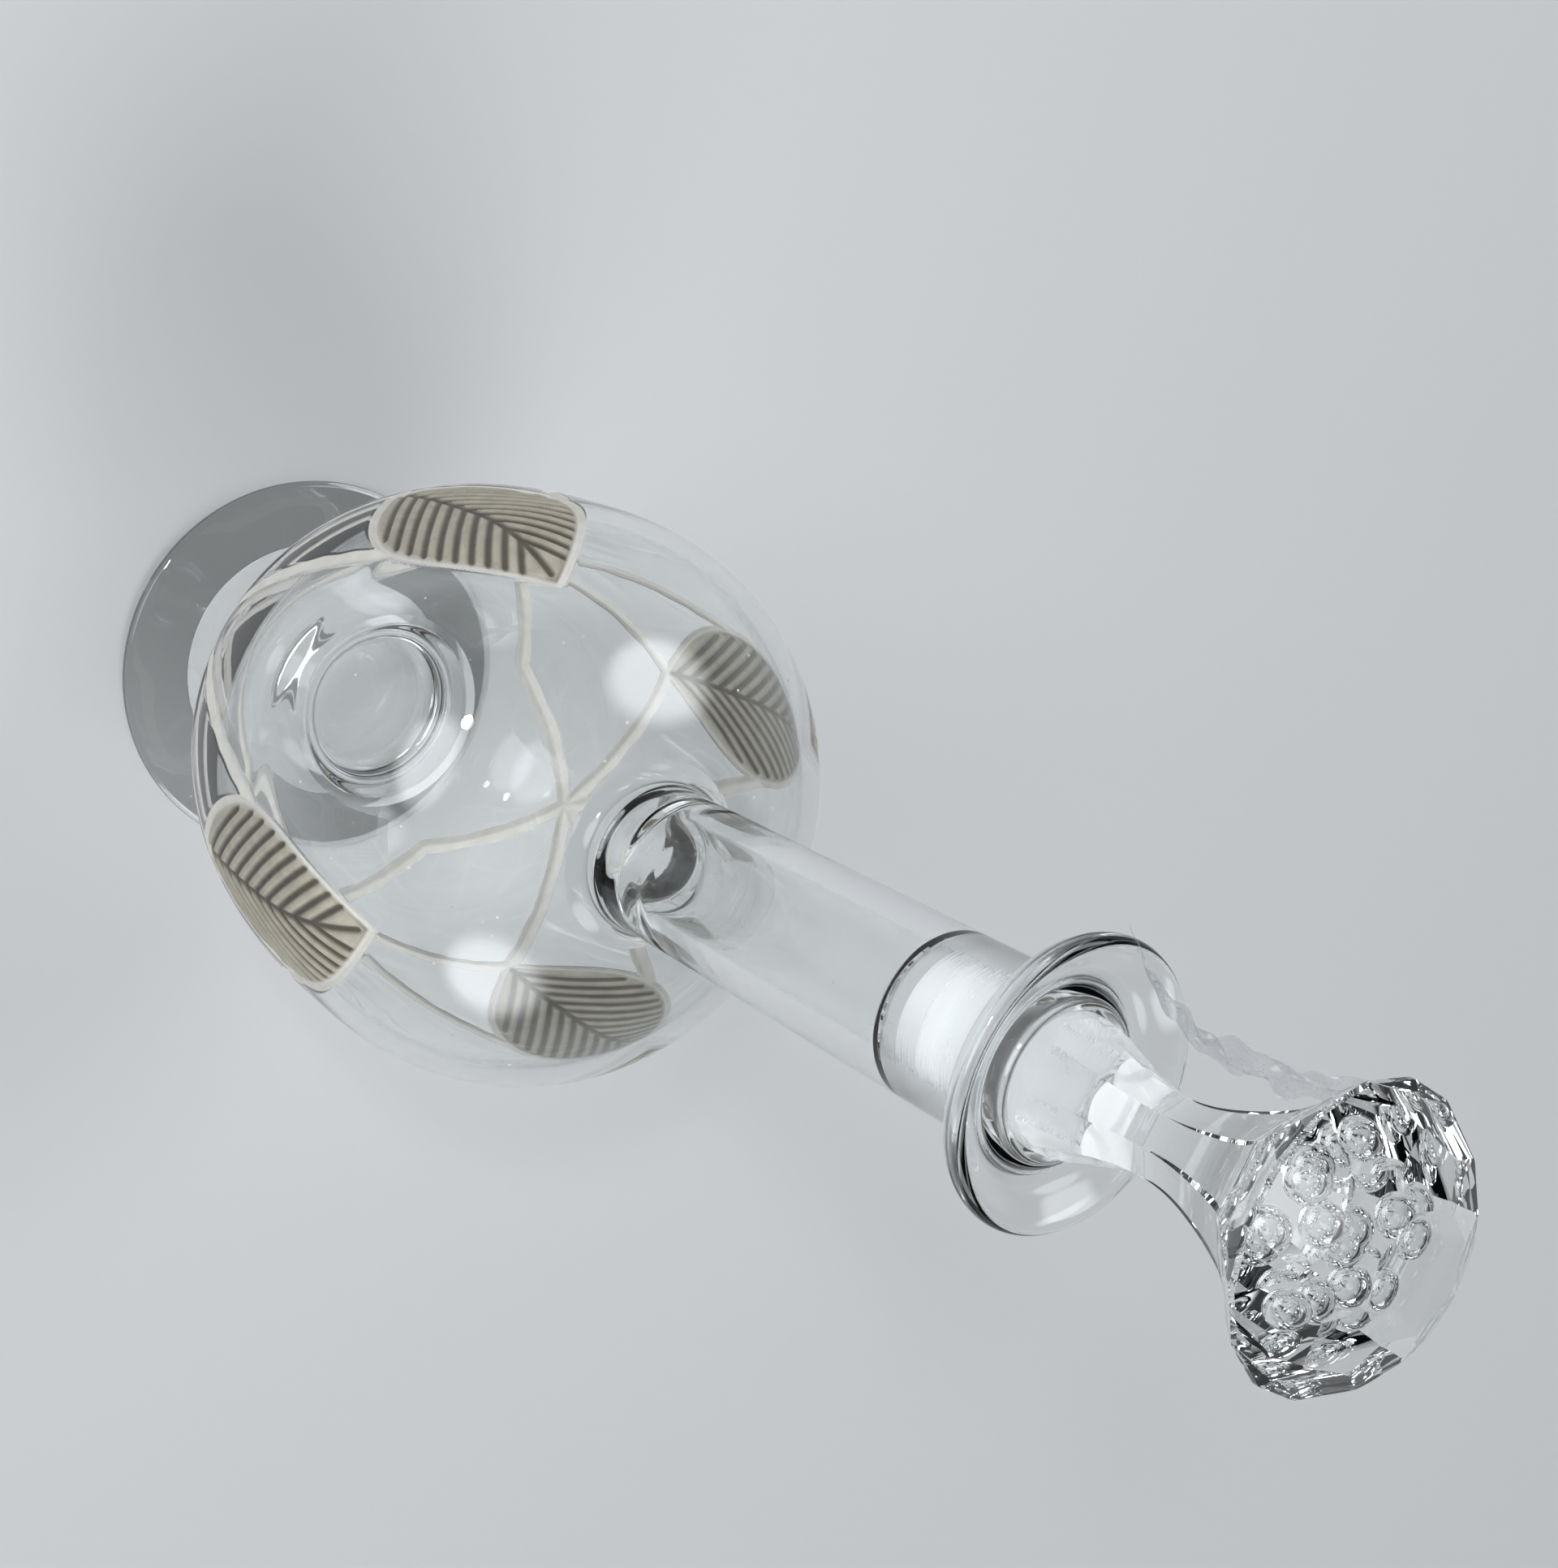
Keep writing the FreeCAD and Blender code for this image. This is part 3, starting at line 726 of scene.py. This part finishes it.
lip_outline = (
    flowing([(neck_radius, lip_height), flare_point, lip_bead[0]])[:-1]
    + lip_bead
    + flowing([lip_bead[-1], dish_point, ridge_foot, ridge_crest, (mouth_radius, mouth_height)])[1:]
    + [(mouth_radius, mouth_end)]
)
lip_seat = [(peg_radius(h) + seat_gap, h) for h in np.linspace(mouth_end, lip_height, LIP_ROWS)]
lip_skins = [(*turned(lip_outline), 0), (*turned(lip_seat), 1)]
lip_finishes = [clear_crystal("lip crystal"), ground_crystal("ground mouth", seat_end)]
piece("lip_glass", lip_skins, "vessel", "lip_ring", lip_finishes)

# The stopper's peg is solid crystal ground to the same taper as the neck, and dry and white at its
# foot. Its skin is open at the top, where it runs on into the shank.
PEG_ROWS = 24
peg_round = 0.8 * MM
peg_tip = peg_low.z + peg_round
peg_tip_radius = peg_radius(peg_tip)
peg_flat_radius = peg_tip_radius - peg_round
peg_outline = (
    [(0, peg_low.z), (peg_tip_radius / 2, peg_low.z), (peg_flat_radius, peg_low.z)]
    + rounded((peg_flat_radius, peg_tip), peg_round, -90, 0, 6)[1:]
    + [(peg_radius(h), h) for h in np.linspace(peg_tip, peg_high.z, PEG_ROWS)[1:]]
)
peg_finish = ground_crystal("ground peg", peg_low.z + dry_band)
piece("peg_glass", [(*turned(peg_outline), 0)], "stopper", "stopper_peg", [peg_finish])

# The shank and head are one cut blank: eight long panels, hollow along their length, that flare
# into a head of flat facets round a flat table, with air bubbles caught inside it.
head_low, head_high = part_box("stopper_head")
PANELS = 8
head_radius = 21.6 * MM
shank_length = head_low.z - peg_high.z
shank_waist = 6.2 * MM
girdle_height = head_low.z + 15.5 * MM
girdle_band = 1 * MM
girdle_top = girdle_height + girdle_band / 2
girdle_reach = head_radius * math.cos(math.pi / (2 * PANELS))
table_radius = 12.5 * MM
ridge_lean = 32.0
ridge_crown_share = 0.82
star_drop = 1.8 * MM
star_lean = 66.0
SHARP_EDGE = 12.0
SHANK_ROWS = 240
HEAD_ROWS = 50

# The panels start a little outside the peg, close in to the waist, and open out to the girdle.
panels_end = girdle_height - girdle_band / 2
panels_rise = panels_end - peg_high.z
panels_flare = girdle_reach - shank_waist
panel_ease = 0.3 * MM
panel_line = flowing([
    (peg_top_radius + panel_ease, peg_high.z),
    (peg_top_radius * 0.86, peg_high.z + shank_length * 0.15),
    (shank_waist * 1.12, peg_high.z + shank_length * 0.38),
    (shank_waist, peg_high.z + shank_length * 0.60),
    (shank_waist * 1.22, peg_high.z + shank_length * 0.82),
    (shank_waist + panels_flare * 0.36, peg_high.z + panels_rise * 0.78),
    (shank_waist + panels_flare * 0.70, peg_high.z + panels_rise * 0.90),
    (girdle_reach, panels_end),
], 24)
panel_reach, panel_height = np.array(panel_line).T
half_panel = 180 / PANELS
off_panel = (360 * np.arange(AROUND) / AROUND + half_panel) % (2 * half_panel) - half_panel


def cut_section(reach, blank):
    """The radii round a blank after flat panels have been cut at one reach from the axis."""
    return np.minimum(blank, reach / np.cos(np.radians(off_panel)))


def panelled(low, high, blank, rows):
    """Rows of a blank from a low to a high height, with the panels cut into it."""
    heights = np.linspace(low, high, rows)
    return [(cut_section(np.interp(h, panel_height, panel_reach), blank), h) for h in heights]


def facet(form, turn, reach, height, rise):
    """Grinds a flat facet that passes a reach from the axis at a height and leans in by rise degrees."""
    turn = math.radians(turn)
    rise = math.radians(rise)
    across = Vector((math.cos(turn), math.sin(turn), 0))
    square = across * math.cos(rise) + Vector((0, 0, math.sin(rise)))
    where = across * reach + Vector((0, 0, height))
    whole = form.verts[:] + form.edges[:] + form.faces[:]
    cut = bmesh.ops.bisect_plane(form, geom=whole, plane_co=where, plane_no=square, clear_outer=True)
    rim = [part for part in cut["geom_cut"] if isinstance(part, bmesh.types.BMEdge)]
    bmesh.ops.holes_fill(form, edges=rim, sides=0)


CUT_WAVE = 0.03 * MM


def stopper_piece(name, form, node, material):
    """One piece of the cut blank, sharp where its facets meet."""
    mesh = bpy.data.meshes.new(name)
    form.to_mesh(mesh)
    form.free()
    mesh.materials.append(material)
    mesh.polygons.foreach_set("use_smooth", [True] * len(mesh.polygons))
    mesh.set_sharp_from_angle(angle=math.radians(SHARP_EDGE))
    return stand_for(name, mesh, "stopper", node)


def skin_form(outline):
    """The rows of an outline as a form that facets can be ground on."""
    vertices, faces = turned(outline)
    form = bmesh.new()
    corners = [form.verts.new(v) for v in vertices]
    for face in faces:
        form.faces.new([corners[i] for i in face])
    return form


shank_form = skin_form(panelled(peg_high.z, head_low.z, peg_top_radius, SHANK_ROWS))
stopper_piece("shank_glass", shank_form, "stopper_shank", clear_crystal("shank crystal", CUT_WAVE))
girdle_section = cut_section(girdle_reach, head_radius)
head_side_rows = panelled(head_low.z, panels_end, head_radius, HEAD_ROWS)
head_form = skin_form(head_side_rows + [(girdle_section, head_high.z), (0, head_high.z)])
crown_lean = math.degrees(math.atan2(girdle_reach - table_radius, head_high.z - girdle_top))
for i in range(PANELS):
    turn = 360 / PANELS * i
    ridge = turn + half_panel
    facet(head_form, ridge, girdle_reach, girdle_height, 0)
    facet(head_form, turn, girdle_reach, girdle_top, crown_lean)
    facet(head_form, ridge, girdle_reach, girdle_top, crown_lean * ridge_crown_share)
    facet(head_form, ridge, girdle_reach, panels_end, -ridge_lean)
    facet(head_form, ridge, table_radius, head_high.z - star_drop, star_lean)

# One air bubble hangs in the middle of the head and six in a ring round it, every second one deeper.
RING_BUBBLES = 6
bubble_radius = 3.1 * MM
bubble_ring = 7.6 * MM
bubble_height = girdle_height - 6 * MM
bubble_stagger = 2 * MM
BUBBLE_GRID = {"u_segments": 40, "v_segments": 24}
bubble_places = [Vector((0, 0, bubble_height))]
for i in range(RING_BUBBLES):
    turn = 2 * math.pi * i / RING_BUBBLES
    height = bubble_height - bubble_stagger * (i % 2)
    bubble_places.append(Vector((bubble_ring * math.cos(turn), bubble_ring * math.sin(turn), height)))
for spot in bubble_places:
    made = bmesh.ops.create_uvsphere(head_form, radius=bubble_radius, **BUBBLE_GRID)
    bubble = made["verts"]
    bmesh.ops.translate(head_form, verts=bubble, vec=spot)
    bmesh.ops.reverse_faces(head_form, faces=list({f for v in bubble for f in v.link_faces}))
stopper_piece("head_glass", head_form, "stopper_head", clear_crystal("head crystal", CUT_WAVE))

# The tape is a strip of clear film stuck on to keep the stopper in: it leaves the rim, bridges the
# gap beside the shank, and is pressed to the underside of the head, creased where it is slack.
tape_low, tape_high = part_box("tape_strip")
TAPE_TURN = 185.0
tape_width = 13 * MM
tape_thickness = 0.25 * MM
tape_rise = girdle_height - tape_low.z
slack_side = (bead_radius + shank_waist) / 2
head_side = head_radius - 3 * MM

# How the film twists from the rim to the head, draws in where it is slack, and folds.
film_lean = 30.0
slack_narrowing = 0.22
crease_depth = 1.8 * MM
FOLDS = 6
FOLD_SEED = 7
FOLD_WAVES = 3
FOLD_TOTAL = 4
FILM_COLUMNS = 28

FILM_CLEAR = (0.50, 0.52, 0.54, 1)
FILM_CREASE_AND_HIGHLIGHT_WHITE = (1, 1, 1, 1)
FILM_IOR = 1.6
CREASES_A_METRE = 260.0
CREASE_AND_HIGHLIGHT_EDGE = (0.5, 0.72)
fine_crease = 0.4 * MM


def clear_film():
    """Thin clear film with white patches that are partly whitening where it is creased and partly
    painted highlights.
    """
    material, shade, place = new_material("clear film")
    creases = mottle(shade, place, CREASES_A_METRE, 2.0)
    # The white patches are partly painted highlights standing in for the film's bright glints, and
    # partly crease whitening.
    crease_and_highlight = creases.between(*CREASE_AND_HIGHLIGHT_EDGE)
    film = shade.add(
        "ShaderNodeBsdfPrincipled",
        {},
        {
            "Base Color": crease_and_highlight.tinted(FILM_CLEAR, FILM_CREASE_AND_HIGHLIGHT_WHITE),
            "Roughness": creases * 0.2 + 0.06,
            "IOR": FILM_IOR,
            "Alpha": crease_and_highlight * 0.5 + 0.4,
            "Normal": bumped(shade, creases, 0.6, fine_crease),
        },
    )
    coat_with(shade, film)
    return material


def random_folds():
    """Each fold's depth, its waves along and across the film, and where it starts."""
    rng = random.Random(FOLD_SEED)
    spans = [(0.5, 1), (5, 16), (-9, 9), (0, 6)]
    return [[rng.uniform(low, high) for low, high in spans] for _ in range(FOLDS)]


def film_strip(path):
    """A strip of film along (radius, height) points, puckered most where it is slack."""
    folds = random_folds()
    angle = math.radians(TAPE_TURN)
    out = np.array([math.cos(angle), math.sin(angle), 0])
    side = np.array([-math.sin(angle), math.cos(angle), 0])
    form = bmesh.new()
    rows = []
    for i, (radius, height) in enumerate(path):
        along = i / (len(path) - 1)
        slack = math.sin(math.pi * along) ** 0.5
        width = tape_width * (1 - slack_narrowing * slack)
        lean = math.radians(film_lean) * (1 - along**2)
        row = []
        for j in range(FILM_COLUMNS + 1):
            across = j / FILM_COLUMNS - 0.5
            heights = [a * math.sin(b * along * FOLD_WAVES + c * across + d) for a, b, c, d in folds]
            pucker = sum(heights) / FOLD_TOTAL
            reach = radius + crease_depth * slack * pucker + width * across * math.sin(lean)
            spot = out * reach + side * width * across * math.cos(lean)
            row.append(form.verts.new((spot[0], spot[1], height)))
        rows.append(row)
    for low, high in zip(rows, rows[1:]):
        for j in range(FILM_COLUMNS):
            form.faces.new([low[j], low[j + 1], high[j + 1], high[j]])
    bmesh.ops.solidify(form, geom=form.faces[:], thickness=tape_thickness)
    return form


tape_path = flowing([
    (bead_radius, tape_low.z),
    (slack_side + (bead_radius - slack_side) * 0.35, tape_low.z + tape_rise * 0.16),
    (slack_side, tape_low.z + tape_rise * 0.45),
    (slack_side + (head_side - slack_side) * 0.30, tape_low.z + tape_rise * 0.72),
    (head_side, tape_high.z),
], 16)
tape_form = film_strip(tape_path)
tape_mesh = bpy.data.meshes.new("tape_film")
tape_form.to_mesh(tape_mesh)
tape_form.free()
tape_mesh.materials.append(clear_film())
tape_mesh.polygons.foreach_set("use_smooth", [True] * len(tape_mesh.polygons))
stand_for("tape_film", tape_mesh, "stopper", "tape_strip")

# The decanter stands on a plain pale floor, under a broad soft lamp, with a small lamp in front
# and three soft panels round a dim room for the crystal to show.
# The floor is painted as lit pale near the decanter and dimmer farther off: a painted light falloff.
FLOOR_PAINTED_LIT_NEAR = (0.52, 0.53, 0.54, 1)
FLOOR_PAINTED_DIM_FAR = (0.40, 0.41, 0.42, 1)
FLOOR_PAINTED_FALLOFF = (0.7, 3.0)
FLOOR_PATCHES_A_METRE = 9.0
floor_reach = 30.0


def pale_floor():
    """Matte pale paint, with a painted light falloff that makes it a little darker farther off."""
    material, shade, place = new_material("pale floor")
    patches = mottle(shade, place, FLOOR_PATCHES_A_METRE)
    away = shade.add("ShaderNodeVectorMath", {"operation": "LENGTH"}, {0: place}, "Value")
    # Painted light falloff: the paint darkens with distance from the middle.
    painted_falloff = away.between(*FLOOR_PAINTED_FALLOFF).tinted(FLOOR_PAINTED_LIT_NEAR, FLOOR_PAINTED_DIM_FAR)
    paint = {"Base Color": painted_falloff, "Roughness": patches * 0.1 + 0.55}
    coat_with(shade, shade.add("ShaderNodeBsdfPrincipled", {}, paint))
    return material


floor_mesh = bpy.data.meshes.new("floor")
corners = [(-floor_reach, -floor_reach, 0), (floor_reach, -floor_reach, 0)]
corners += [(floor_reach, floor_reach, 0), (-floor_reach, floor_reach, 0)]
floor_mesh.from_pydata(corners, [], [(0, 1, 2, 3)])
floor_mesh.materials.append(pale_floor())
floor = bpy.data.objects.new("floor", floor_mesh)
bpy.context.scene.collection.objects.link(floor)


def hang(lamp, place, target, seen):
    """Hangs a lamp, which the crystal either shows or is only lit by."""
    hung = bpy.data.objects.new(lamp.name, lamp)
    hung.location = place
    hung.rotation_mode = "QUATERNION"
    hung.rotation_quaternion = (Vector(target) - Vector(place)).to_track_quat("-Z", "Y")
    hung.visible_glossy = seen
    hung.visible_transmission = seen
    bpy.context.scene.collection.objects.link(hung)


middle = (0, 0, 0.15)
broad_lamp_place = (0.9, 0.9, 2.0)
broad_lamp = bpy.data.lights.new("broad lamp", "SUN")
broad_lamp.energy = 1.7
broad_lamp.angle = math.radians(30)
hang(broad_lamp, broad_lamp_place, middle, False)
front_lamp_place = (-0.10, -0.42, 0.62)
front_lamp = bpy.data.lights.new("front lamp", "AREA")
front_lamp.shape = "DISK"
front_lamp.size = 0.05
front_lamp.energy = 1.4
hang(front_lamp, front_lamp_place, middle, True)

# The room is pale at the horizon and dim overhead, and each panel fades out round its middle.
HORIZON = (0.42, 0.43, 0.44, 1)
OVERHEAD = (0.03, 0.032, 0.035, 1)
HORIZON_FADE = (0.22, 0.5)
PANEL_LIGHT = (3.6, 3.7, 3.8, 1)
PANEL_FADE = (0.95, 0.985)
PANEL_DIRECTIONS = [(-0.62, 0.30, 0.72), (0.12, -0.74, 0.66), (0.75, 0.30, 0.60)]
world = bpy.data.worlds.new("studio")
world.use_nodes = True
world.node_tree.nodes.clear()
air = Shade(world.node_tree)
facing = air.add("ShaderNodeTexCoord", {}, {}, "Generated")
upward = air.add("ShaderNodeSeparateXYZ", {}, {"Vector": facing}, "Z")
sky = upward.between(*HORIZON_FADE).tinted(HORIZON, OVERHEAD)
for direction in PANEL_DIRECTIONS:
    centre = Vector(direction).normalized()
    near = air.add("ShaderNodeVectorMath", {"operation": "DOT_PRODUCT"}, {0: facing, 1: centre}, "Value")
    sky = near.between(*PANEL_FADE).tinted(sky, PANEL_LIGHT)
shown = air.add("ShaderNodeBackground", {}, {"Color": sky, "Strength": 1.0})
air.add("ShaderNodeOutputWorld", {}, {"Surface": shown})
bpy.context.scene.world = world

# The camera looks down on the decanter and is rolled, so that the decanter lies across the view.
camera_place = (-0.0031, -0.2295, 0.4660)
camera_direction = Vector((-0.0526, 0.6319, -0.7733))
camera_roll = Quaternion((0, 0, 1), math.radians(114.45))
camera = bpy.data.cameras.new("camera")
camera.sensor_width = 36
camera.lens = 46.58
viewer = bpy.data.objects.new("camera", camera)
viewer.location = camera_place
viewer.rotation_mode = "QUATERNION"
viewer.rotation_quaternion = camera_direction.to_track_quat("-Z", "Y") @ camera_roll
bpy.context.scene.collection.objects.link(viewer)
bpy.context.scene.camera = viewer
bpy.context.scene.view_settings.view_transform = "Standard"
BOUNCES = 24
bpy.context.scene.cycles.max_bounces = BOUNCES
bpy.context.scene.cycles.transmission_bounces = BOUNCES
bpy.context.scene.cycles.transparent_max_bounces = BOUNCES
